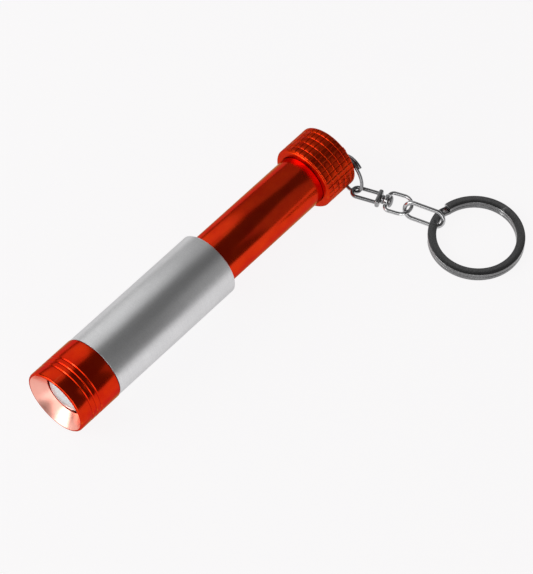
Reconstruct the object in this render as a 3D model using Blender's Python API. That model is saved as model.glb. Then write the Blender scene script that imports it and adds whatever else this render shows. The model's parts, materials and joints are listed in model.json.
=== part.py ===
"""Telescopic keychain flashlight: a zoom head on a sliding sleeve, a one-cell battery tube and a ring chain.

The torch lies on its side along X with the beam towards +X. A point on it is given by its station, the
distance behind the front rim, and its radius from the torch's axis. Lengths are in millimetres until
the helper functions turn them into metres. The chain lies beside the tail, towards +Y.
"""

import math

import bmesh
import bpy
from mathutils import Matrix, Vector

MM = 0.001

# Facets of the turned pieces. A flat facet faces down, so that the torch rests without rolling.
TURNED_SIDES = 28
INNER_SIDES = 20
SMALL_SIDES = 16
WIRE_SIDES = 6

# Head and sleeve, which slide together on the battery tube.
HEAD_RADIUS = 9.0
HEAD_LENGTH = 13.5
MOUTH_RADIUS = 8.45
LENS_HOLE_RADIUS = 5.9
MOUTH_DEPTH = 3.35
HEAD_GROOVE_STATIONS = (3.9, 5.4, 6.9)
HEAD_GROOVE_DEPTH = 0.28
HEAD_SKIRT_DEPTH = 3.8
HEAD_REAR_RADIUS = 8.8
HEAD_CHAMFER = 0.25
RIM_RADIUS = 8.75
LENS_SEAT_WALL = 0.4
GROOVE_MOUTH = 0.38
GROOVE_FLOOR = 0.2
SLEEVE_RADIUS = 8.88
SLEEVE_BORE = 7.7
SLEEVE_NECK_RADIUS = 8.25
SLEEVE_END = 55.26
SLEEVE_LIP_START = 52.3
SLEEVE_LIP_BORE = 7.25
SLEEVE_CHAMFER = 0.3
JOINT_GAP = 0.25

# Lens pack in the head. A washer is given by its front and back stations and its two radii.
GASKET_WASHER = (3.9, 4.4, 6.1, 7.4)
RETAINER_WASHER = (5.85, 7.0, 5.9, 7.45)
LENS_FRONT = 2.1
LENS_DOME_BASE = 4.2
LENS_DOME_RADIUS = 5.6
LENS_DOME_STEPS = 5
LENS_FLANGE_FRONT = 4.65
LENS_FLANGE_RADIUS = 7.35
LENS_BACK = 5.6

# Battery tube, its cell and the lamp on its front end.
TUBE_RADIUS = 7.0
TUBE_BORE = 5.6
TUBE_CHAMFER = 0.2
TUBE_FRONT = 44.0
TUBE_SHOULDER = 91.0
TUBE_NECK_RADIUS = 6.3
TUBE_NECK_END = 96.0
RING_GROOVE_RADIUS = 6.6
FRICTION_RING_STATION = 48.1
STOP_RING_STATION = 51.45
RING_GROOVE_WIDTH = 1.4
SEAL_RING_STATION = 92.8
SEAL_GROOVE_RADIUS = 6.0
CELL_RADIUS = 5.25
CELL_LENGTH = 44.5
CELL_FRONT = 48.2
CELL_NUB_RADIUS = 1.9
CELL_NUB_LENGTH = 1.0
CELL_CHAMFER = 0.4
FRICTION_RING_SECTION = (7.13, 0.37)
SEAL_RING_SECTION = (6.29, 0.24)
SEAL_GROOVE_HALF = 0.6
STOP_WASHER = (50.95, 51.95, 6.8, 7.5)
BOARD_DISC = (43.35, 44.15, 4.6)
PACKAGE_FRONT = 42.5
PACKAGE_BACK = 43.1
PACKAGE_HALF_SIDE = 1.73
HOLDER_SECTION = (
    (42.6, 4.9), (42.6, 6.3), (43.7, 6.3), (43.7, 5.3), (47.2, 5.3), (47.2, 1.3), (44.4, 1.3), (44.4, 4.9),
)
LED_DOME_OUTLINE = ((41.2, 0.0), (41.3, 0.5), (41.6, 0.95), (42.0, 1.15), (42.25, 1.2), (42.25, 0.0))
CONTACT_OUTLINE = ((44.65, 0.0), (44.65, 1.0), (47.5, 1.0), (47.5, 2.2), (47.9, 2.2), (47.9, 0.0))

# Tail cap, which turns on the tube, with the lug that the ring chain hangs on.
CAP_START = 90.3
CAP_END = 100.36
CAP_RADIUS = 8.95
CAP_FLUTES = 36
CAP_FLUTE_DEPTH = 0.3
CAP_BORE = 6.6
CAP_BORE_END = 97.4
CAP_MOUTH_BORE = 7.25
CAP_MOUTH_END = 91.3
CAP_FRONT_RADIUS = 8.55
CAP_REAR_RADIUS = 8.5
CAP_CHAMFER = 0.4
SPRING_WIRE = 0.25
SPRING_RADIUS = 3.6
SPRING_START = 93.35
SPRING_END = 96.0
SPRING_COILS = 4
CONTACT_DISC = (96.55, 97.1, 5.2)
LUG_ANGLE = math.radians(-20.0)
LUG_HALF_WIDTH = 3.95
LUG_THICKNESS = 1.8
LUG_END = 104.3
LUG_HOLE_STATION = 102.6
LUG_HOLE_OFFSET = 2.2
LUG_HOLE_RADIUS = 1.15
LUG_CORNER = 1.2

# The torch's axis stands above the table by the head's flat facet.
AXIS_HEIGHT = HEAD_RADIUS * math.cos(math.pi / TURNED_SIDES)

# Small split ring in the lug: one and a half turns of round wire.
SMALL_RING_RADIUS = 5.0
SMALL_RING_WIRE = 0.45
SMALL_RING_PITCH = 1.0
SMALL_RING_REACH = Vector((0.22, 0.81, -0.535)).normalized()
SMALL_RING_NORMAL = Vector((0.965, -0.19, 0.185))
BAIL_AT = math.radians(172.0)

# Swivel: a bail on the small ring, a rivet along the swivel's axis and a loop that turns on it.
SWIVEL_HEADING = math.radians(111.0)
SWIVEL_REACH = 14.6
SWIVEL_TIP_HEIGHT = 2.55
BAIL_WIRE = 0.5
BAIL_HALF_WIDTH = 1.5
BAIL_BACK = 1.3
PLATE_START = 5.7
PLATE_END = 6.4
PLATE_SIZE = (4.4, 2.4)
RIVET_SHANK = 0.7
RIVET_HOLE = 0.95
RIVET_OUTLINE = (
    (5.35, 0.0), (5.35, 0.55), (5.5, RIVET_SHANK), (6.65, RIVET_SHANK), (6.65, 1.2), (7.3, 1.2),
    (7.3, RIVET_SHANK), (8.8, RIVET_SHANK), (8.8, 1.55), (9.15, 1.55), (9.6, 0.9), (9.6, 0.0),
)
BAIL_LEG = 3.0
LOOP_WIRE = 0.5
LOOP_HALF_WIDTH = 2.85
LOOP_BAR = 8.05
LOOP_ROLL = math.radians(-2.0)
LOOP_CONTACT = math.radians(20.0)
LOOP_EYE_RADIUS = 1.7
LOOP_CORNER = 1.3

# Oval link between the swivel's loop and the key ring.
LINK_WIRE = 0.55
LINK_LENGTH = 10.6
LINK_WIDTH = 4.6
LINK_HEADING = math.radians(107.3)
LINK_PLAY = 1.35
LINK_DROP = 0.3
LINK_TILT = math.radians(-70.0)

# Key ring: flat wire wound almost twice, with a step where it climbs from one turn to the next.
KEY_RING_CENTRE = Vector((-109.99, 41.15, 0.0))
KEY_RING_OUTER = 12.35
KEY_RING_WIDTH = 2.2
KEY_RING_THICKNESS = 1.1
KEY_RING_PITCH = 1.2
KEY_RING_TOP_END = math.radians(260.4)
KEY_RING_LOW_END = math.radians(314.5)
KEY_RING_STEP = math.radians(15.0)
KEY_RING_LEAN = math.radians(1.0)

# The origin is the middle of the object's footprint, on the table.
FOOTPRINT_MIDDLE = Vector((
    (KEY_RING_CENTRE.x - KEY_RING_OUTER) / 2,
    (KEY_RING_CENTRE.y + KEY_RING_OUTER - HEAD_RADIUS) / 2,
    0.0,
))

ORANGE_ANODISED = ("orange_anodised", (0.62, 0.045, 0.005), 0.3, 1.0)
SATIN_ALUMINIUM = ("satin_aluminium", (0.62, 0.62, 0.63), 0.42, 1.0)
BRIGHT_NICKEL = ("bright_nickel", (0.52, 0.52, 0.53), 0.18, 1.0)
DARK_NICKEL = ("dark_nickel", (0.16, 0.16, 0.17), 0.25, 1.0)
BLACK_RUBBER = ("black_rubber", (0.02, 0.02, 0.02), 0.7, 0.0)
CLEAR_LENS = ("clear_lens", (0.9, 0.93, 0.95), 0.05, 0.0)
BLACK_NYLON = ("black_nylon", (0.03, 0.03, 0.03), 0.5, 0.0)
BOARD_WHITE = ("board_white", (0.8, 0.8, 0.78), 0.5, 0.0)
PHOSPHOR_YELLOW = ("phosphor_yellow", (0.85, 0.75, 0.2), 0.4, 0.0)
BRASS = ("brass", (0.7, 0.5, 0.2), 0.3, 1.0)
CELL_JACKET = ("cell_jacket", (0.1, 0.1, 0.12), 0.35, 0.0)


def clear_scene():
    """Remove every object, so that the model starts from nothing."""
    for found in list(bpy.data.objects):
        bpy.data.objects.remove(found, do_unlink=True)


def finish_material(finish):
    """Return the Principled material of a finish, made on its first use."""
    name, colour, roughness, metallic = finish
    if name in bpy.data.materials:
        return bpy.data.materials[name]
    material = bpy.data.materials.new(name)
    material.use_nodes = True
    shader = material.node_tree.nodes["Principled BSDF"]
    shader.inputs["Base Color"].default_value = (*colour, 1.0)
    shader.inputs["Roughness"].default_value = roughness
    shader.inputs["Metallic"].default_value = metallic
    return material


def add_empty(name, place):
    """Add an axis marker at a place in the torch's frame."""
    empty = bpy.data.objects.new(name, None)
    empty.empty_display_size = 5 * MM
    empty.location = (place - FOOTPRINT_MIDDLE) * MM
    bpy.context.scene.collection.objects.link(empty)
    return empty


def add_piece(name, shape, finish, parent):
    """Turn a bmesh in millimetres into a named object whose origin is its parent's place."""
    bmesh.ops.recalc_face_normals(shape, faces=shape.faces)
    mesh = bpy.data.meshes.new(name)
    shape.to_mesh(mesh)
    shape.free()
    origin = parent.location / MM + FOOTPRINT_MIDDLE
    mesh.transform(Matrix.Diagonal((MM, MM, MM, 1.0)) @ Matrix.Translation(-origin))
    mesh.materials.append(finish_material(finish))
    mesh.shade_smooth()
    mesh.set_sharp_from_angle(angle=math.radians(30.0))
    piece = bpy.data.objects.new(name, mesh)
    piece.parent = parent
    bpy.context.scene.collection.objects.link(piece)
    return piece


def apply_boolean(piece, cutter, operation):
    """Join or cut a piece with a helper object, then drop the helper."""
    modifier = piece.modifiers.new(operation.lower(), "BOOLEAN")
    modifier.operation = operation
    modifier.object = cutter
    bpy.context.view_layer.update()
    graph = bpy.context.evaluated_depsgraph_get()
    result = bpy.data.meshes.new_from_object(piece.evaluated_get(graph))
    piece.modifiers.remove(modifier)
    piece.data = result
    bpy.data.objects.remove(cutter, do_unlink=True)


def torch_frame():
    """Return the matrix of the torch's axis: local X runs backwards as the station grows."""
    return Matrix.Translation((0.0, 0.0, AXIS_HEIGHT)) @ Matrix.Diagonal((-1.0, 1.0, 1.0, 1.0))


def frame_along(origin, forward, side):
    """Return the matrix with local X along forward and local Y as near to side as it can be."""
    third = forward.cross(side).normalized()
    second = third.cross(forward).normalized()
    turn = Matrix((forward.normalized(), second, third)).transposed().to_4x4()
    return Matrix.Translation(origin) @ turn


def stitch(shape, rings, closed):
    """Join equal rings of vertices into a skin, and cap both ends unless the skin closes on itself."""
    count = len(rings[0])
    pairs = list(zip(rings, rings[1:] + rings[:1])) if closed else list(zip(rings, rings[1:]))
    for first, second in pairs:
        for index in range(count):
            after = (index + 1) % count
            shape.faces.new((first[index], first[after], second[after], second[index]))
    if not closed:
        shape.faces.new(list(reversed(rings[0])))
        shape.faces.new(rings[-1])


def turned(profile, frame, sides=TURNED_SIDES, flute=None):
    """Turn (station, radius) points about local X. A profile that starts on the axis is a solid of
    revolution, and any other is a closed section. The flute function changes a radius by its side."""
    shape = bmesh.new()
    solid = profile[0][1] == 0.0
    points = profile[1:-1] if solid else profile
    rings = []
    for station, radius in points:
        ring = []
        for side in range(sides):
            angle = 2 * math.pi * (side + 0.5) / sides - math.pi / 2
            reach = flute(station, radius, side) if flute else radius
            place = Vector((station, reach * math.cos(angle), reach * math.sin(angle)))
            ring.append(shape.verts.new(frame @ place))
        rings.append(ring)
    stitch(shape, rings, closed=not solid)
    return shape


def swept(centres, sections, closed):
    """Sweep a section along centres. Each entry of sections is a list of offsets from its centre."""
    shape = bmesh.new()
    rings = [
        [shape.verts.new(centre + offset) for offset in offsets]
        for centre, offsets in zip(centres, sections)
    ]
    stitch(shape, rings, closed)
    return shape


def round_wire(centres, radius, flat_normal, closed, sides=WIRE_SIDES):
    """Sweep round wire along a path that lies near a plane with the given normal."""
    sections = []
    last = len(centres) - 1
    for index, centre in enumerate(centres):
        before = centres[index - 1] if closed or index else centre
        after = centres[(index + 1) % len(centres)] if closed or index < last else centre
        along = (after - before).normalized()
        across = along.cross(flat_normal).normalized()
        up = across.cross(along).normalized()
        angles = [2 * math.pi * (side + 0.5) / sides for side in range(sides)]
        sections.append([radius * (math.cos(a) * across + math.sin(a) * up) for a in angles])
    return swept(centres, sections, closed)


def block(frame, low, high):
    """Make a box between two corners of a local frame."""
    shape = bmesh.new()
    bmesh.ops.create_cube(shape, size=1.0)
    middle = (Vector(low) + Vector(high)) / 2
    span = Vector(high) - Vector(low)
    placed = frame @ Matrix.Translation(middle) @ Matrix.Diagonal((*span, 1.0))
    bmesh.ops.transform(shape, matrix=placed, verts=shape.verts)
    return shape


def stadium(centre, along, across, length, width, bend_steps):
    """Return the points of an oval with straight sides, as a closed path round its centre."""
    bend = width / 2
    straight = (length - width) / 2
    points = []
    for end in (1, -1):
        for step in range(bend_steps + 1):
            angle = math.pi * (step / bend_steps - 0.5)
            reach = straight + bend * math.cos(angle)
            points.append(centre + end * (reach * along + bend * math.sin(angle) * across))
    return points


def grooved_edge(start, end, radius, grooves, depth):
    """Return the outer edge of a turned piece from start to end, with square grooves cut in it."""
    edge = [(start, radius)]
    for groove in grooves:
        edge += [
            (groove - GROOVE_MOUTH, radius), (groove - GROOVE_FLOOR, radius - depth),
            (groove + GROOVE_FLOOR, radius - depth), (groove + GROOVE_MOUTH, radius),
        ]
    return edge + [(end, radius)]


def build_head(slide_axis):
    """Build the zoom head, its lens pack and the sleeve screwed to it."""
    frame = torch_frame()
    outer_end = HEAD_LENGTH - HEAD_CHAMFER
    head = [(0.0, RIM_RADIUS)]
    head += grooved_edge(HEAD_CHAMFER, outer_end, HEAD_RADIUS, HEAD_GROOVE_STATIONS, HEAD_GROOVE_DEPTH)
    skirt_start = HEAD_LENGTH - HEAD_SKIRT_DEPTH
    skirt_radius = SLEEVE_NECK_RADIUS + JOINT_GAP
    head += [
        (HEAD_LENGTH, HEAD_REAR_RADIUS), (HEAD_LENGTH, skirt_radius), (skirt_start, skirt_radius),
        (skirt_start, SLEEVE_BORE), (MOUTH_DEPTH + LENS_SEAT_WALL, SLEEVE_BORE),
        (MOUTH_DEPTH + LENS_SEAT_WALL, LENS_HOLE_RADIUS), (MOUTH_DEPTH, LENS_HOLE_RADIUS),
        (0.0, MOUTH_RADIUS),
    ]
    add_piece("bezel_head", turned(head, frame), ORANGE_ANODISED, slide_axis)

    neck_start = skirt_start + JOINT_GAP
    shoulder = HEAD_LENGTH + JOINT_GAP
    sleeve = [
        (neck_start, SLEEVE_NECK_RADIUS), (shoulder, SLEEVE_NECK_RADIUS), (shoulder, SLEEVE_RADIUS),
        (SLEEVE_END - SLEEVE_CHAMFER, SLEEVE_RADIUS), (SLEEVE_END, SLEEVE_RADIUS - SLEEVE_CHAMFER),
        (SLEEVE_END, SLEEVE_LIP_BORE), (SLEEVE_LIP_START, SLEEVE_LIP_BORE),
        (SLEEVE_LIP_START, SLEEVE_BORE), (neck_start, SLEEVE_BORE),
    ]
    add_piece("outer_sleeve", turned(sleeve, frame), SATIN_ALUMINIUM, slide_axis)

    add_piece("lens_gasket", turned(washer(*GASKET_WASHER), frame), BLACK_RUBBER, slide_axis)

    lens = [(LENS_FRONT, 0.0)]
    for step in range(1, LENS_DOME_STEPS + 1):
        angle = math.pi / 2 * step / LENS_DOME_STEPS
        height = (LENS_DOME_BASE - LENS_FRONT) * math.cos(angle)
        lens.append((LENS_DOME_BASE - height, LENS_DOME_RADIUS * math.sin(angle)))
    lens += [
        (LENS_FLANGE_FRONT, LENS_DOME_RADIUS), (LENS_FLANGE_FRONT, LENS_FLANGE_RADIUS),
        (LENS_BACK, LENS_FLANGE_RADIUS), (LENS_BACK, 0.0),
    ]
    add_piece("lens", turned(lens, frame), CLEAR_LENS, slide_axis)
    add_piece("lens_retainer", turned(washer(*RETAINER_WASHER), frame), BLACK_NYLON, slide_axis)


def build_tube(tube_axis):
    """Build the battery tube with its cell, its lamp and the rings in its grooves."""
    frame = torch_frame()
    half = RING_GROOVE_WIDTH / 2
    tube = [(TUBE_FRONT, TUBE_RADIUS - TUBE_CHAMFER), (TUBE_FRONT + TUBE_CHAMFER, TUBE_RADIUS)]
    for groove in (FRICTION_RING_STATION, STOP_RING_STATION):
        tube += [
            (groove - half, TUBE_RADIUS), (groove - half, RING_GROOVE_RADIUS),
            (groove + half, RING_GROOVE_RADIUS), (groove + half, TUBE_RADIUS),
        ]
    seal_start, seal_end = SEAL_RING_STATION - SEAL_GROOVE_HALF, SEAL_RING_STATION + SEAL_GROOVE_HALF
    tube += [
        (TUBE_SHOULDER, TUBE_RADIUS), (TUBE_SHOULDER, TUBE_NECK_RADIUS),
        (seal_start, TUBE_NECK_RADIUS), (seal_start, SEAL_GROOVE_RADIUS),
        (seal_end, SEAL_GROOVE_RADIUS), (seal_end, TUBE_NECK_RADIUS),
        (TUBE_NECK_END, TUBE_NECK_RADIUS), (TUBE_NECK_END, TUBE_BORE), (TUBE_FRONT, TUBE_BORE),
    ]
    add_piece("battery_tube", turned(tube, frame), ORANGE_ANODISED, tube_axis)

    friction = ring_section(FRICTION_RING_STATION, *FRICTION_RING_SECTION)
    add_piece("friction_ring", turned(friction, frame), BLACK_RUBBER, tube_axis)
    add_piece("stop_ring", turned(washer(*STOP_WASHER), frame), BRIGHT_NICKEL, tube_axis)
    seal = ring_section(SEAL_RING_STATION, *SEAL_RING_SECTION)
    add_piece("seal_ring", turned(seal, frame), BLACK_RUBBER, tube_axis)

    add_piece("led_holder", turned(HOLDER_SECTION, frame, INNER_SIDES), BLACK_NYLON, tube_axis)
    add_piece("led_board", turned(disc(*BOARD_DISC), frame, INNER_SIDES), BOARD_WHITE, tube_axis)
    side = PACKAGE_HALF_SIDE
    package = block(frame, (PACKAGE_FRONT, -side, -side), (PACKAGE_BACK, side, side))
    add_piece("led_package", package, BOARD_WHITE, tube_axis)
    add_piece("led_dome", turned(LED_DOME_OUTLINE, frame, SMALL_SIDES), PHOSPHOR_YELLOW, tube_axis)
    add_piece("positive_contact", turned(CONTACT_OUTLINE, frame, SMALL_SIDES), BRASS, tube_axis)

    can_start = CELL_FRONT + CELL_NUB_LENGTH
    cell_end = CELL_FRONT + CELL_LENGTH
    cell = [
        (CELL_FRONT, 0.0), (CELL_FRONT, CELL_NUB_RADIUS), (can_start, CELL_NUB_RADIUS),
        (can_start, CELL_RADIUS - CELL_CHAMFER), (can_start + CELL_CHAMFER, CELL_RADIUS),
        (cell_end - CELL_CHAMFER, CELL_RADIUS), (cell_end, CELL_RADIUS - CELL_CHAMFER), (cell_end, 0.0),
    ]
    add_piece("aaa_cell", turned(cell, frame), CELL_JACKET, tube_axis)


def washer(front, back, inner, outer):
    """Return the section of a flat ring between two stations."""
    return [(front, inner), (front, outer), (back, outer), (back, inner)]


def disc(front, back, radius):
    """Return the outline of a plain disc between two stations."""
    return [(front, 0.0), (front, radius), (back, radius), (back, 0.0)]


def ring_section(station, middle_radius, half_thickness):
    """Return the eight-sided section of a rubber ring."""
    angles = [math.pi * (step + 0.5) / 4 for step in range(8)]
    return [
        (station + half_thickness * math.cos(a), middle_radius + half_thickness * math.sin(a))
        for a in angles
    ]


def cap_flute(station, radius, side):
    """Lower every second side of the cap's outside, which leaves lengthwise grip grooves."""
    on_grip = radius == CAP_RADIUS and CAP_START < station < CAP_END
    return radius - CAP_FLUTE_DEPTH if on_grip and side % 2 else radius


def lug_frame():
    """Return the matrix of the lug: local X runs backwards and local Y along the lug's width."""
    across = Vector((0.0, math.cos(LUG_ANGLE), math.sin(LUG_ANGLE)))
    return frame_along(Vector((0.0, 0.0, AXIS_HEIGHT)), Vector((-1.0, 0.0, 0.0)), across)


def lug_hole():
    """Return the middle of the lug's hole."""
    return lug_frame() @ Vector((LUG_HOLE_STATION, LUG_HOLE_OFFSET, 0.0))


def build_cap(cap_axis):
    """Build the fluted tail cap with its lug, and the spring and contact inside it."""
    frame = torch_frame()
    cap = [
        (CAP_BORE_END, 0.0), (CAP_BORE_END, CAP_BORE), (CAP_MOUTH_END, CAP_BORE),
        (CAP_MOUTH_END, CAP_MOUTH_BORE), (CAP_START, CAP_MOUTH_BORE), (CAP_START, CAP_FRONT_RADIUS),
        (CAP_START + CAP_CHAMFER, CAP_RADIUS), (CAP_END - CAP_CHAMFER, CAP_RADIUS),
        (CAP_END, CAP_REAR_RADIUS), (CAP_END, 0.0),
    ]
    shape = turned(cap, frame, 2 * CAP_FLUTES, cap_flute)
    piece = add_piece("tail_cap", shape, ORANGE_ANODISED, cap_axis)
    half = LUG_THICKNESS / 2
    root = CAP_END - half
    lug = block(lug_frame(), (root, -LUG_HALF_WIDTH, -half), (LUG_END, LUG_HALF_WIDTH, half))
    far_edges = [
        edge for edge in lug.edges
        if all(vert.co.x < -LUG_END + 0.01 for vert in edge.verts)
        and abs((edge.verts[0].co - edge.verts[1].co).length - LUG_THICKNESS) < 0.01
    ]
    bmesh.ops.bevel(lug, geom=far_edges, offset=LUG_CORNER, segments=3, affect="EDGES", profile=0.5)
    apply_boolean(piece, add_piece("lug_blank", lug, ORANGE_ANODISED, cap_axis), "UNION")
    hole_line = lug_frame() @ Matrix.Translation((LUG_HOLE_STATION, LUG_HOLE_OFFSET, 0.0))
    drill = hole_line @ Matrix.Rotation(math.pi / 2, 4, "Y")
    reach = LUG_THICKNESS
    hole = turned(disc(-reach, reach, LUG_HOLE_RADIUS), drill, SMALL_SIDES)
    apply_boolean(piece, add_piece("lug_drill", hole, ORANGE_ANODISED, cap_axis), "DIFFERENCE")

    steps = 12
    last = SPRING_COILS * steps
    centres = []
    for step in range(last + 1):
        turn = 2 * math.pi * step / steps
        station = SPRING_START + (SPRING_END - SPRING_START) * step / last
        place = Vector((station, SPRING_RADIUS * math.cos(turn), SPRING_RADIUS * math.sin(turn)))
        centres.append(frame @ place)
    spring = round_wire(centres, SPRING_WIRE, Vector((1.0, 0.0, 0.0)), closed=False, sides=5)
    add_piece("tail_spring", spring, BRIGHT_NICKEL, cap_axis)
    add_piece("contact_disc", turned(disc(*CONTACT_DISC), frame, INNER_SIDES), BRASS, cap_axis)


def small_ring_axes():
    """Return the small ring's centre, the way to it from the lug's hole, its normal and its tangent."""
    hole = lug_hole()
    reach = SMALL_RING_REACH
    normal = (SMALL_RING_NORMAL - reach * SMALL_RING_NORMAL.dot(reach)).normalized()
    return hole + SMALL_RING_RADIUS * reach, reach, normal, normal.cross(-reach)


def small_ring_point(turn):
    """Return the point of the ring's centre line at an angle counted from the lug's hole."""
    centre, reach, _, tangent = small_ring_axes()
    return centre + SMALL_RING_RADIUS * (math.sin(turn) * tangent - math.cos(turn) * reach)


def build_small_ring(ring_axis):
    """Build the split ring: wire that lies double for half a turn round the lug's hole."""
    normal = small_ring_axes()[2]
    steps = 54
    centres = []
    for step in range(steps + 1):
        turn = math.radians(-90.0 + 540.0 * step / steps)
        climb = min(max((turn - math.pi / 2) / math.pi, 0.0), 1.0)
        side = (climb * climb * (3 - 2 * climb) - 0.5) * SMALL_RING_PITCH
        centres.append(small_ring_point(turn) + side * normal)
    shape = round_wire(centres, SMALL_RING_WIRE, normal, closed=False)
    add_piece("small_split_ring", shape, BRIGHT_NICKEL, ring_axis)


def swivel_axes():
    """Return the swivel's start on the small ring and its unit vectors: along, level side and up."""
    start = small_ring_point(BAIL_AT)
    rise = (SWIVEL_TIP_HEIGHT - start.z) / SWIVEL_REACH
    level = math.sqrt(1.0 - rise * rise)
    along = Vector((level * math.cos(SWIVEL_HEADING), level * math.sin(SWIVEL_HEADING), rise))
    side = along.cross(Vector((0.0, 0.0, 1.0))).normalized()
    return start, along, side, side.cross(along)


def build_bail(bail_axis):
    """Build the bail, a narrow wire bow with a cross plate, and the rivet through the plate."""
    start, along, level_side, _ = swivel_axes()
    frame = frame_along(start, along, level_side)
    bend_middle = BAIL_HALF_WIDTH - BAIL_BACK
    foot = (PLATE_START + PLATE_END) / 2
    path = [Vector((foot, BAIL_HALF_WIDTH, 0.0)), Vector((BAIL_LEG, BAIL_HALF_WIDTH, 0.0))]
    for step in range(9):
        angle = math.pi * (0.5 + step / 8)
        path.append(Vector((
            bend_middle + BAIL_HALF_WIDTH * math.cos(angle), BAIL_HALF_WIDTH * math.sin(angle), 0.0,
        )))
    path += [Vector((BAIL_LEG, -BAIL_HALF_WIDTH, 0.0)), Vector((foot, -BAIL_HALF_WIDTH, 0.0))]
    normal = (frame.to_3x3() @ Vector((0.0, 0.0, 1.0))).normalized()
    wire = round_wire([frame @ point for point in path], BAIL_WIRE, normal, closed=False)
    piece = add_piece("swivel_bail", wire, BRIGHT_NICKEL, bail_axis)
    wide, tall = PLATE_SIZE
    plate = block(frame, (PLATE_START, -wide / 2, -tall / 2), (PLATE_END, wide / 2, tall / 2))
    apply_boolean(piece, add_piece("plate_blank", plate, BRIGHT_NICKEL, bail_axis), "UNION")
    drill = turned(disc(PLATE_START - 0.5, PLATE_END + 0.5, RIVET_HOLE), frame, SMALL_SIDES)
    apply_boolean(piece, add_piece("plate_drill", drill, BRIGHT_NICKEL, bail_axis), "DIFFERENCE")

    add_piece("swivel_rivet", turned(RIVET_OUTLINE, frame, SMALL_SIDES), BRIGHT_NICKEL, bail_axis)


def loop_side():
    """Return the direction across the swivel's loop."""
    _, _, level_side, up = swivel_axes()
    return math.cos(LOOP_ROLL) * level_side + math.sin(LOOP_ROLL) * up


def build_loop(loop_axis):
    """Build the loop: a rounded wire bow closed by a bar with an eye that turns on the rivet."""
    start, along, _, _ = swivel_axes()
    frame = frame_along(start, along, loop_side())
    path = []
    for step in range(13):
        angle = math.pi * (0.5 - step / 12)
        bend = SWIVEL_REACH - LOOP_HALF_WIDTH
        path.append((bend + LOOP_HALF_WIDTH * math.cos(angle), LOOP_HALF_WIDTH * math.sin(angle)))
    for end in (-1, 1):
        for step in range(4):
            angle = math.pi / 2 * step / 3
            along_bar = LOOP_BAR + LOOP_CORNER * (1 - math.sin(angle))
            across_bar = LOOP_HALF_WIDTH - LOOP_CORNER * (1 - math.cos(angle))
            path.append((along_bar, end * across_bar))
    path[17:21] = reversed(path[17:21])
    centres = [frame @ Vector((*point, 0.0)) for point in path]
    normal = (frame.to_3x3() @ Vector((0.0, 0.0, 1.0))).normalized()
    wire = round_wire(centres, LOOP_WIRE, normal, closed=True)
    piece = add_piece("swivel_loop", wire, BRIGHT_NICKEL, loop_axis)
    eye = turned(disc(LOOP_BAR - LOOP_WIRE, LOOP_BAR + LOOP_WIRE, LOOP_EYE_RADIUS), frame, SMALL_SIDES)
    apply_boolean(piece, add_piece("eye_blank", eye, BRIGHT_NICKEL, loop_axis), "UNION")
    drill = turned(disc(LOOP_BAR - 1.0, LOOP_BAR + 1.0, RIVET_HOLE), frame, SMALL_SIDES)
    apply_boolean(piece, add_piece("eye_drill", drill, BRIGHT_NICKEL, loop_axis), "DIFFERENCE")


def loop_contact():
    """Return the point of the loop's wire that the link hangs on, and the wire's direction there."""
    start, along, _, _ = swivel_axes()
    across = loop_side()
    bend = start + (SWIVEL_REACH - LOOP_HALF_WIDTH) * along
    outward = math.cos(LOOP_CONTACT) * along + math.sin(LOOP_CONTACT) * across
    return bend + LOOP_HALF_WIDTH * outward, math.cos(LOOP_CONTACT) * across - math.sin(LOOP_CONTACT) * along


def link_axes():
    """Return the unit vectors along and across the oval link, which stands nearly on its edge."""
    along = Vector((math.cos(LINK_HEADING), math.sin(LINK_HEADING), 0.0))
    up = Vector((0.0, 0.0, 1.0))
    return along, math.cos(LINK_TILT) * along.cross(up) + math.sin(LINK_TILT) * up


def link_centre():
    """Return the middle of the oval link, whose front bend hooks round the loop's wire."""
    along, across = link_axes()
    return loop_contact()[0] + (LINK_LENGTH / 2 - LINK_PLAY) * along - LINK_DROP * across


def build_link(link_axis):
    """Build the oval link of round wire."""
    along, across = link_axes()
    path = stadium(link_centre(), along, across, LINK_LENGTH, LINK_WIDTH, 14)
    shape = round_wire(path, LINK_WIRE, along.cross(across), closed=True)
    add_piece("chain_link", shape, BRIGHT_NICKEL, link_axis)


def key_ring_point(turn, radius, height):
    """Return a point of the key ring's flat wire. It climbs in one short step, and leans on the link."""
    climb = min(max((turn - KEY_RING_TOP_END - 2 * math.pi) / KEY_RING_STEP, 0.0), 1.0)
    level = KEY_RING_PITCH * climb * climb * (3 - 2 * climb)
    flat = Vector((radius * math.cos(turn), radius * math.sin(turn), level + height))
    towards_link = -link_axes()[0]
    resting_edge = -KEY_RING_OUTER * towards_link
    lean = Matrix.Rotation(KEY_RING_LEAN, 3, towards_link.cross(Vector((0.0, 0.0, 1.0))))
    return KEY_RING_CENTRE + resting_edge + lean @ (flat - resting_edge)


def build_key_ring(key_axis):
    """Build the flat split ring: a turn on the table, a step up, and most of a turn on top of it."""
    low, climb, top = 36, 5, 38
    first, stepped = KEY_RING_LOW_END, KEY_RING_TOP_END + 2 * math.pi
    last = KEY_RING_TOP_END + 4 * math.pi
    turns = [first + (stepped - first) * step / low for step in range(low)]
    turns += [stepped + KEY_RING_STEP * step / climb for step in range(climb)]
    landed = stepped + KEY_RING_STEP
    turns += [landed + (last - landed) * step / top for step in range(top + 1)]
    inner = KEY_RING_OUTER - KEY_RING_WIDTH
    corners = (
        (inner, 0.0), (KEY_RING_OUTER, 0.0),
        (KEY_RING_OUTER, KEY_RING_THICKNESS), (inner, KEY_RING_THICKNESS),
    )
    shape = bmesh.new()
    rings = [[shape.verts.new(key_ring_point(turn, *corner)) for corner in corners] for turn in turns]
    stitch(shape, rings, closed=False)
    add_piece("key_ring", shape, DARK_NICKEL, key_axis)


def link_end():
    """Return the middle of the link's bend inside the key ring."""
    return link_centre() + LINK_LENGTH / 2 * link_axes()[0]


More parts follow.
